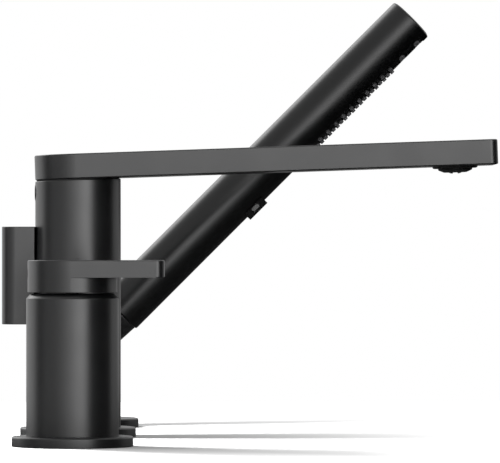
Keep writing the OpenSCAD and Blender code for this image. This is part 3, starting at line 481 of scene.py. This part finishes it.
def dress(obj, shade, body, *nodes, look=None):
    """Gives a piece its material, its body and the nodes that it stands for."""
    obj.data.materials.clear()
    obj.data.materials.append(SHADES[look or shade])
    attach(obj, body)
    if nodes:
        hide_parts(*nodes)
    return obj


# The lever's steel stem takes the near black paint: painted shade in the gap under the cap.
LOOKS = {"lever_stem": "gap_shade_black"}
for row in frame["record"]["subparts"]:
    part = frame["nodes"][row["node"]]
    shade = SHADES[LOOKS.get(row["node"], row["material_slot"])]
    for slot in part.material_slots:
        slot.material = shade


# Deck fixings and rosettes

def thread(name, r, low, high, bore_r, pitch, matrix, flange=()):
    """A tube with a real helical thread on its outside."""
    count = 96
    depth = 0.55 * pitch
    turns = (high - low) / pitch
    steps = max(2, round(turns * 8))
    rings = []
    for i in range(steps + 1):
        z = low + (high - low) * i / steps
        ring = []
        for j in range(count):
            wave = (z / pitch - j / count) % 1
            crest = min(1, 3 * (0.5 - abs(wave - 0.5)))
            fade = min(1, (z - low) / pitch, (high - z) / pitch)
            a = math.tau * j / count
            here = r - depth * (1 - crest * fade)
            ring.append((here * math.cos(a), here * math.sin(a), z))
        rings.append(ring)
    for r_extra, z in flange:
        rings.append(circle(r_extra, z, count))
    rings.append(circle(bore_r, rings[-1][0][2], count))
    rings.append(circle(bore_r, low, count))
    verts, faces = loft(rings, closed=True)
    return finish_mesh(name, verts, faces, matrix, crease=50)


def rosette(name, y, hole_r):
    profile = soften(
        [
            (hole_r + GAP, FLANGE_TOP + 0.2),
            (hole_r + GAP, ROSETTE_T),
            (ROSETTE_R, ROSETTE_T),
            (ROSETTE_R, 0),
            (COLUMN_R + 0.5, 0),
            (COLUMN_R + 0.5, FLANGE_TOP + 0.2),
        ],
        [0.1, 0.15, ROSETTE_EDGE, ROSETTE_EDGE, 0.1, 0.1],
        5,
    )
    piece = lathe(name + "_rosette", profile, place(y=y))
    dress(piece, "matt_black", "fixed_set", "rosette_" + name, look="flat_black")


for station, station_y in DECK_STATIONS:
    shower = station == "shower"
    rosette(station, station_y, HOLDER_FOOT_R if shower else FOOT_R)
    bore = HOLDER_FOOT_R + GAP if shower else SHANK_BORE_R
    above = [(COLUMN_R, FLANGE_LOW), (COLUMN_R, FLANGE_TOP)]
    if not shower:
        above += [(SHANK_R, FLANGE_TOP), (SHANK_R, SOCKET_TOP - 0.3)]
    threaded = thread(
        station + "_shank_thread",
        SHANK_R,
        SHANK_LOW,
        FLANGE_LOW,
        bore,
        SHANK_PITCH,
        place(y=station_y),
        above,
    )
    dress(threaded, "bare_brass", "fixed_set", "shank_" + station)


# Mixer

def mixer_shell():
    profile = soften(
        [
            (SHANK_R + GAP, FLANGE_TOP),
            (FOOT_R, FLANGE_TOP),
            (FOOT_R, ROSETTE_T),
            (NECK_R, ROSETTE_T),
            (NECK_R, BODY_Z),
            (COLUMN_R, BODY_Z),
            (COLUMN_R, MIXER_TOP - MIXER_CHAMFER),
            (COLUMN_R - MIXER_CHAMFER, MIXER_TOP),
            (COVER_SEAT_R, MIXER_TOP),
            (COVER_SEAT_R, COVER_SEAT_Z),
            (NUT_SEAT_R, COVER_SEAT_Z),
            (NUT_SEAT_R, NUT_SEAT_Z),
            (CARTRIDGE_SEAT_R, NUT_SEAT_Z),
            (CARTRIDGE_SEAT_R, CARTRIDGE_SEAT_Z),
            (0.2, CARTRIDGE_SEAT_Z),
            (0.2, BUSH_ROOM_TOP),
            (BUSH_ROOM_R, BUSH_ROOM_TOP),
            (BUSH_ROOM_R, SOCKET_TOP),
            (SHANK_R + GAP, SOCKET_TOP),
        ],
        [0, 0, 0, 0, 0, 0.25, 0.3, 0.2, 0.15, 0, 0, 0, 0, 0, 0, 0, 0, 0, 0],
    )
    shell = lathe("mixer_shell", profile, AT_MIXER)
    ports = []
    for angle in (60, 180, 300):
        a = math.radians(angle)
        at = AT_MIXER @ place(PORT_CIRCLE_R * math.cos(a), PORT_CIRCLE_R * math.sin(a))
        wide = PORT_R + GAP
        profile = [(wide, 27), (wide, 34.05), (PASSAGE_R, 34.1), (PASSAGE_R, 41)]
        ports.append(turned("port", profile, at, 40))
    cut(shell, *ports)
    return shell


dress(mixer_shell(), "matt_black", "fixed_set", "mixer_body")


def lever_body():
    """Round cap with a flat arm, one shell: top face, side, arm's underside, skirt and hollow."""
    edge = 0.6
    rings = []
    outline = tongue(COLUMN_R, LEVER_REACH, CORNER_R)
    count = len(outline)
    half = ROUND // 2
    # Each point of the arm's outline has a partner on the cap's circle
    partner = []
    for i, (x, y) in enumerate(outline):
        if i <= half:
            partner.append((x, y, 0.0))
        else:
            share = (i - half) / (count - half)
            a = math.radians(-90 + 180 * share)
            px, py = COLUMN_R * math.cos(a), COLUMN_R * math.sin(a)
            partner.append((px, py, math.hypot(x - px, y - py)))
    for inset, drop in reversed(rounding(edge)):
        rings.append([(x, y, LEVER_TOP - drop) for x, y in tongue(COLUMN_R, LEVER_REACH, CORNER_R, inset)])
    rings.append([(x, y, LEVER_UNDER + edge) for x, y in outline])
    for inset, drop in rounding(edge)[1:]:
        ring = []
        for (x, y), (px, py, away) in zip(outline, partner):
            if away < 1e-6:
                ring.append((x, y, LEVER_UNDER + drop))
                continue
            go = min(inset / away, 0.4)
            ring.append((x + (px - x) * go, y + (py - y) * go, LEVER_UNDER + drop))
        rings.append(ring)
    rings.append([(px, py, LEVER_UNDER - 0.15) for px, py, away in partner])
    for inset, drop in rounding(0.25):
        k = (COLUMN_R - inset) / COLUMN_R
        rings.append([(px * k, py * k, LEVER_Z + drop) for px, py, away in partner])
    inner = SKIRT_R / COLUMN_R
    rings.append([(px * inner, py * inner, LEVER_Z) for px, py, away in partner])
    rings.append([(px * inner, py * inner, ROOF_Z) for px, py, away in partner])
    rings = rings[::-1]
    verts, faces = loft(rings)
    body = finish_mesh("lever_cap", verts, faces, AT_MIXER)
    along = STEM_T / 2 + GAP
    across = STEM_W / 2 + GAP
    stem = box_solid("stem_socket", (-along, -across, 80), (along, across, STEM_TOP), 0.1, AT_MIXER)
    key = turned("key", [(2.55, 0), (2.55, 40)], BEHIND_STEM, 40)
    seat = turned("seat", [(3.45, 18.2), (3.45, 40)], BEHIND_STEM, 48)
    cut(body, stem, key, seat)
    return body


dress(lever_body(), "matt_black", "lever", "lever_handle")

lever_dot = turned(
    "lever_cover_plug",
    [(3.2, 18.2), (3.4, 18.4), (3.4, 20.0), (3.1, 20.2), (1.2, 20.2)],
    BEHIND_STEM,
    64,
)
dress(lever_dot, "black_plastic", "lever", "lever_plug")


# Spout

def column_shell():
    """Tube whose upper end follows the spout arm's slope."""
    slope = math.tan(ARM_TILT)

    def top(x, below):
        return ARM_Z - ARM_GAP / math.cos(ARM_TILT) + x * slope - below

    rings = []
    edge = 0.25
    for inset, drop in reversed(rounding(edge)):
        rings.append(circle(COLUMN_R - inset, BODY_Z + drop))
    for inset, drop in ((0, 0.5), (0.18, 0.18), (0.5, 0)):
        r = COLUMN_R - inset
        rings.append([(x, y, top(x, drop)) for x, y, z in circle(r)])
    rings.append([(x, y, top(x, 0)) for x, y, z in circle(SPIGOT_BORE_R)])
    rings.append(circle(SPIGOT_BORE_R, SPIGOT_BORE_Z))
    rings.append(circle(COLUMN_BORE_R, SPIGOT_BORE_Z))
    rings.append(circle(COLUMN_BORE_R, BODY_Z))
    verts, faces = loft(rings, closed=True)
    shell = finish_mesh("spout_column_shell", verts, faces)
    bush = turned("bush_hole", [(7.05, 0), (7.05, 40)], place(z=DIVERTER_Z) @ REARWARD, 64)
    screw = turned("screw_hole", [(3.05, 0), (3.05, 40)], place(z=LOCK_Z) @ REARWARD, 48)
    seat_r = LOCK_PLUG_R + GAP
    seat = turned("plug_seat", [(seat_r, 22.5), (seat_r, 40)], place(z=LOCK_Z) @ REARWARD, 64)
    return cut(shell, bush, screw, seat)


dress(column_shell(), "matt_black", "fixed_set", "spout_column")

plug = turned(
    "column_cover_plug",
    [
        (LOCK_PLUG_R, 22.5), (LOCK_PLUG_R, 23.85), (4.55, 24.05), (4.2, 24.16), (3.2, 24.27),
        (1.8, 24.33), (0.6, 24.35),
    ],
    place(z=LOCK_Z) @ REARWARD,
    64,
)
dress(plug, "matt_black", "fixed_set", "lock_plug")


def arm_shell():
    def outline(inset):
        return tongue(COLUMN_R, ARM_REACH, CORNER_R, inset)

    arm = prism("spout_arm_shell", outline, 0, ARM_T, 0.8, ON_ARM)
    bore_r = AERATOR_R + GAP
    nozzle = turned("nozzle_bore", [(bore_r, -1), (bore_r, 10)], ON_ARM @ place(AERATOR_X), 96)
    spigot = turned("spigot_seat", [(16.05, -1), (16.05, 2.5)], ON_ARM, 96)
    return cut(arm, nozzle, spigot)


dress(arm_shell(), "matt_black", "fixed_set", "spout_arm")


def aerator():
    at = ON_ARM @ place(AERATOR_X)
    collar = lathe(
        "aerator_ring",
        soften(
            [
                (INSERT_R + GAP, 7.5), (AERATOR_R, 7.5), (AERATOR_R, 0), (12, 0), (12, -0.5), (9, -0.5),
                (9, -1.7), (INSERT_R + GAP, -2.8),
            ],
            [0.1, 0.3, 0, 0.1, 0.25, 0.15, 0.3, 0.15],
        ),
        at,
        128,
    )
    dress(collar, "matt_black", "fixed_set", "aerator_collar")
    tip = turned(
        "aerator_core",
        [(INSERT_R, 7.5), (INSERT_R, -2.7), (5.65, -2.9), (2.4, -4.1), (2.2, -4.15)],
        at,
        96,
    )
    half = COIN_SLOT_W / 2
    slot = box_solid("coin_slot", (-half, -8, -5), (half, 8, -2.4), 0.05, at)
    hole = turned("water_hole", [(1.45, -5), (1.45, 9)], at, 40)
    cut(tip, slot, hole)
    dress(tip, "black_plastic", "fixed_set", "aerator_insert")


aerator()


def diverter_grip():
    low = DIVERTER_Z - HANDLE_H / 2
    grip = prism("diverter_grip", stadium, low, low + HANDLE_H, 0.45)
    square = box_solid(
        "square", (-36.0, -2.85, DIVERTER_Z - 2.85), (-20, 2.85, DIVERTER_Z + 2.85), 0.05
    )
    across = place(-30.7, 2.8, DIVERTER_Z) @ Matrix.Rotation(-math.pi / 2, 4, "X")
    key = turned("key", [(2.05, 0), (2.05, 20)], across, 40)
    cut(grip, square, key)
    dress(grip, "matt_black", "diverter", "diverter_handle")


diverter_grip()


# Shower holder

def bent_tube():
    """Threaded foot, upright and bend in one tube."""
    start = HOLDER_Z - BEND_REACH

    def ring(r, turn):
        away = BEND_R - BEND_R * math.cos(turn)
        up = start + BEND_R * math.sin(turn)
        out = []
        for x, y, z in circle(r):
            out.append((away + x * math.cos(turn), y, up - x * math.sin(turn)))
        return out

    bends = [SHOWER_TILT * i / 24 for i in range(25)]
    outer = [
        circle(HOLDER_FOOT_R, HOLDER_FOOT_LOW),
        circle(HOLDER_FOOT_R, ROSETTE_T),
        circle(HOLDER_R, ROSETTE_T),
    ]
    outer += [ring(HOLDER_R, turn) for turn in bends]
    inner = [ring(HOLDER_BORE_R, turn) for turn in reversed(bends)]
    inner.append(circle(HOLDER_BORE_R, HOLDER_FOOT_LOW))
    verts, faces = loft(outer + inner, closed=True)
    tube = finish_mesh("holder_bend", verts, faces, AT_SHOWER)
    dress(tube, "matt_black", "fixed_set", "holder_tube")


bent_tube()

sleeve = lathe(
    "holder_sleeve",
    soften(
        [
            (HOLDER_BORE_R, BEND_REACH), (HOLDER_R, BEND_REACH), (HOLDER_R, SLEEVE_TOP),
            (11.35, SLEEVE_TOP), (11.35, 16.5), (HOLDER_BORE_R, 16.5),
        ],
        [0, 0, 0.25, 0.1, 0, 0],
    ),
    ON_STICK,
)
dress(sleeve, "matt_black", "fixed_set", "holder_socket")

liner = lathe(
    "holder_liner",
    soften(
        [
            (10.7, LINER_LOW), (11.3, LINER_LOW), (11.3, 28.8), (HOLDER_R, 28.8),
            (HOLDER_R, LINER_TOP), (10.7, LINER_TOP),
        ],
        [0, 0.1, 0, 0.15, 0.25, 0.15],
    ),
    ON_STICK,
)
dress(liner, "black_plastic", "liner", "turning_liner")


# Hand shower

def stick_shell():
    shell = lathe(
        "stick_shell",
        soften(
            [
                (STICK_INNER_R, STICK_LOW), (STICK_R, STICK_LOW),
                (STICK_R, STICK_TOP), (STICK_INNER_R, STICK_TOP),
            ],
            [0.1, 0.5, 0.6, 0.25],
            4,
        ),
        ON_STICK,
        192,
    )
    window = box_solid(
        "window", (0, -WINDOW_W / 2, WINDOW_LOW), (20, WINDOW_W / 2, WINDOW_HIGH), 0.02, ON_STICK, 1
    )
    half = BLOCK_LEN / 2 + GAP
    side = BLOCK_W / 2 + GAP
    opening = box_solid(
        "opening", (0, -side, BUTTON_T - half), (20, side, BUTTON_T + half), 0.02, ON_STICK, 1
    )
    cut(shell, window, opening)
    # The stick takes the darker copy of the paint, which is painted shade.
    dress(shell, "matt_black", "handset", "stick_tube", look="stick_shaded_black")


stick_shell()


def jet_webs():
    """Closes the middle of each jet's slit, just below the stick's surface."""
    for number, below in enumerate(JET_PLACES):
        web = box_solid(
            "jet_web_%d" % (number + 1),
            (12.2, -2, STICK_TOP - below - 0.49),
            (13.66, 2, STICK_TOP - below + 0.49),
            0.02,
            ON_STICK,
            1,
        )
        # The webs take the stick's darker copy of the paint, which is painted shade.
        dress(web, "nozzle_silicone", "handset", look="stick_shaded_black")


jet_webs()


def button():
    """Square block with the oval bar that pushes through it."""
    half = BLOCK_LEN / 2
    block = box_solid(
        "pause_block",
        (BLOCK_LOW_R, -BLOCK_W / 2, BUTTON_T - half),
        (BLOCK_TOP_R, BLOCK_W / 2, BUTTON_T + half),
        0.3,
        ON_STICK,
    )
    across = ON_STICK @ place(BAR_R, 0, BUTTON_T) @ Matrix.Rotation(-math.pi / 2, 4, "X")
    verts, faces = loft([
        [(x, y, z) for x, y in oval(BAR_LEN + 0.1, BAR_H + 0.1)] for z in (-20, 20)
    ])
    hole = finish_mesh("bar_hole", verts, faces, across)
    slot = box_solid(
        "shutter_slot", (0, -5.8, BUTTON_T - 1.5), (BAR_R, 5.8, BUTTON_T + 1.5), 0.02, ON_STICK, 1
    )
    cut(block, hole, slot)
    dress(block, "matt_black", "handset", "button_block", look="dull_black")
    near, far = -7.7, 11.3
    rings = []
    dish = [(0.9, 0.0), (0.5, 0.03), (0.25, 0.1), (0.1, 0.24), (0.03, 0.4), (0.0, 0.6)]
    for inset, drop in dish:
        rings.append([(x, y, near + drop) for x, y in oval(BAR_LEN, BAR_H, inset=inset)])
    for inset, drop in reversed(dish):
        rings.append([(x, y, far - drop) for x, y in oval(BAR_LEN, BAR_H, inset=inset)])
    verts, faces = loft(rings)
    bar = finish_mesh("pause_bar_oval", verts, faces, across)
    dress(bar, "black_plastic", "pause_bar", "push_bar", look="flat_black")


button()


# Floor, light and camera

def maths(tree, operation, first, second=None):
    made = node(tree, "ShaderNodeMath", operation=operation)
    for socket, value in zip(made.inputs, (first, second)):
        if isinstance(value, (int, float)):
            socket.default_value = value
        elif value is not None:
            tree.links.new(value, socket)
    return made.outputs[0]


def smooth_step(tree, factor, low, high):
    made = node(tree, "ShaderNodeMapRange", interpolation_type="SMOOTHSTEP")
    made.inputs["From Min"].default_value = low
    made.inputs["From Max"].default_value = high
    tree.links.new(factor, made.inputs["Value"])
    return made.outputs["Result"]


FLOOR_IN_REFLECTIONS = 0.06


def floor():
    """White floor, whose own glow is faint round the object, so that shadows show there.
    Mirrored rays see it nearly black."""
    mesh = bpy.data.meshes.new("floor")
    left, right, near, far = -0.2, 0.29, -0.36, 0.6
    mesh.from_pydata(
        [(left, near, 0), (right, near, 0), (right, far, 0), (left, far, 0)], [], [(0, 1, 2, 3)]
    )
    obj = bpy.data.objects.new("floor", mesh)
    bpy.context.scene.collection.objects.link(obj)
    material, tree, shader = new_material("white_floor")
    shader.inputs["Base Color"].default_value = (0.86, 0.86, 0.86, 1)
    shader.inputs["Roughness"].default_value = 0.9
    shader.inputs["Specular IOR Level"].default_value = 0
    glow = node(tree, "ShaderNodeEmission")
    path = node(tree, "ShaderNodeLightPath")
    coords = node(tree, "ShaderNodeTexCoord")
    split = node(tree, "ShaderNodeSeparateXYZ")
    tree.links.new(coords.outputs["Object"], split.inputs[0])
    aside = smooth_step(tree, maths(tree, "ABSOLUTE", split.outputs["X"]), 0.04, 0.3)
    away = smooth_step(tree, maths(tree, "ABSOLUTE", split.outputs["Y"]), 0.16, 0.34)
    own = maths(tree, "ADD", maths(tree, "MULTIPLY", maths(tree, "MAXIMUM", aside, away), 0.92), 0.08)
    seen = maths(tree, "MAXIMUM", path.outputs["Is Camera Ray"], path.outputs["Is Transmission Ray"])
    tree.links.new(maths(tree, "MULTIPLY", own, seen), glow.inputs["Strength"])
    add = node(tree, "ShaderNodeAddShader")
    tree.links.new(shader.outputs[0], add.inputs[0])
    tree.links.new(glow.outputs[0], add.inputs[1])
    mirrored = node(tree, "ShaderNodeEmission", Strength=FLOOR_IN_REFLECTIONS)
    pick = node(tree, "ShaderNodeMixShader")
    tree.links.new(path.outputs["Is Glossy Ray"], pick.inputs["Fac"])
    tree.links.new(add.outputs[0], pick.inputs[1])
    tree.links.new(mirrored.outputs[0], pick.inputs[2])
    tree.links.new(pick.outputs[0], tree.nodes["Material Output"].inputs["Surface"])
    mesh.materials.append(material)
    return obj


ground = floor()


# Light that mirrored rays see round the object: degrees from the front, to the right, and strength.
# The strengths were set until the columns' grey levels came near the photograph's.
ROUND_THE_ROOM = (
    (-180, 0.6), (-165, 0.75), (-150, 0.85), (-136, 1.05), (-124, 1.45), (-115, 1.65), (-106, 1.3),
    (-98, 0.5), (-90, 0.1), (-84, 0.2), (-76, 0.6), (-64, 0.95), (-50, 0.95), (-38, 1.2), (-28, 1.65),
    (-18, 2.2), (-8, 3.1), (0, 3.8), (10, 5.2), (20, 6.4), (30, 6.6), (36, 4.5), (42, 0.8), (47, 0.0),
    (102, 0.0), (109, 0.3), (117, 0.8), (127, 0.6), (145, 0.35), (160, 0.35), (180, 0.6),
)
# The colour ramp holds shares of this strength
BRIGHTEST = 7.0
RING_GAIN = 1.1
OVERHEAD = 0.82
# Light that scattered rays see from every side
SCATTERED = 0.4
# A light panel high behind the left end, which the chamfers and rounded upper edges mirror
PANEL_TOWARDS = (-0.51, 0.695, 0.505)
PANEL_LEVEL = 2.2


def studio():
    """White for the camera and for rays through a piece. Mirrored rays don't see that white. They
    see the ring of light and dark, an even light overhead, the panel, and black below."""
    world = bpy.data.worlds.new("studio")
    bpy.context.scene.world = world
    world.use_nodes = True
    tree = world.node_tree
    tree.nodes.clear()
    path = node(tree, "ShaderNodeLightPath")
    coords = node(tree, "ShaderNodeTexCoord")
    split = node(tree, "ShaderNodeSeparateXYZ")
    tree.links.new(coords.outputs["Generated"], split.inputs[0])
    across, depth, height = split.outputs
    turn = maths(tree, "ARCTAN2", across, maths(tree, "MULTIPLY", depth, -1.0))
    share = maths(tree, "ADD", maths(tree, "DIVIDE", turn, math.tau), 0.5)
    wheel = node(tree, "ShaderNodeValToRGB")
    stops = wheel.color_ramp.elements
    while len(stops) < len(ROUND_THE_ROOM):
        stops.new(0.5)
    for stop, (degrees, level) in zip(stops, ROUND_THE_ROOM):
        stop.position = (degrees + 180) / 360
        stop.color = (level / BRIGHTEST, level / BRIGHTEST, level / BRIGHTEST, 1)
    tree.links.new(share, wheel.inputs["Fac"])
    ring = maths(tree, "MULTIPLY", wheel.outputs["Color"], BRIGHTEST * RING_GAIN)
    above = smooth_step(tree, height, 0.08, 0.42)
    level = maths(tree, "MULTIPLY", ring, maths(tree, "SUBTRACT", 1.0, above))
    aligned = maths(tree, "MULTIPLY", across, PANEL_TOWARDS[0])
    for part, towards in ((depth, PANEL_TOWARDS[1]), (height, PANEL_TOWARDS[2])):
        aligned = maths(tree, "ADD", aligned, maths(tree, "MULTIPLY", part, towards))
    panel = maths(tree, "MULTIPLY", smooth_step(tree, aligned, 0.93, 0.975), PANEL_LEVEL)
    blend = maths(tree, "ADD", level, maths(tree, "MULTIPLY", above, OVERHEAD))
    blend = maths(tree, "ADD", blend, panel)
    seen = maths(tree, "MULTIPLY", blend, smooth_step(tree, height, -0.2, -0.03))
    mirrored = maths(tree, "MULTIPLY", path.outputs["Is Glossy Ray"], seen)
    scattered = maths(tree, "MULTIPLY", path.outputs["Is Diffuse Ray"], SCATTERED)
    direct = maths(tree, "MAXIMUM", path.outputs["Is Camera Ray"], path.outputs["Is Transmission Ray"])
    shine = node(tree, "ShaderNodeBackground", Color=(1, 1, 1, 1))
    total = maths(tree, "ADD", maths(tree, "ADD", mirrored, scattered), direct)
    tree.links.new(total, shine.inputs["Strength"])
    out = node(tree, "ShaderNodeOutputWorld")
    tree.links.new(shine.outputs[0], out.inputs["Surface"])


studio()


def softbox(name, spot, aim, width, height, power):
    data = bpy.data.lights.new(name, "AREA")
    data.shape = "RECTANGLE"
    data.size = width
    data.size_y = height
    data.energy = power
    obj = bpy.data.objects.new(name, data)
    bpy.context.scene.collection.objects.link(obj)
    obj.location = spot
    obj.rotation_euler = (Vector(aim) - Vector(spot)).to_track_quat("-Z", "Y").to_euler()
    obj.visible_camera = False
    obj.visible_glossy = False
    return obj


softbox("left", (-1.3, 0.02, 0.36), (0.1, 0, 0), 0.3, 0.12, 10)
# Lights the floor only, for the fan-shaped shadows under the stations
low_lamp = softbox("floor_light", (-0.135, -0.01, 0.2), (0.12, -0.01, 0), 0.045, 0.12, 2.2)
only_floor = bpy.data.collections.new("only_floor")
only_floor.objects.link(ground)
low_lamp.light_linking.receiver_collection = only_floor

LENS = 343.4
CAMERA_AT = (0.061, -2.68, 0.106)
CAMERA_LOOKS_AT = (0.0966, 0, 0.1153)
camera_data = bpy.data.cameras.new("camera")
camera_data.sensor_width = 36
camera_data.lens = LENS
camera = bpy.data.objects.new("camera", camera_data)
bpy.context.scene.collection.objects.link(camera)
camera.location = CAMERA_AT
look = Vector(CAMERA_LOOKS_AT) - camera.location
camera.rotation_euler = look.to_track_quat("-Z", "Y").to_euler()
bpy.context.scene.camera = camera
bpy.context.scene.view_settings.view_transform = "Standard"
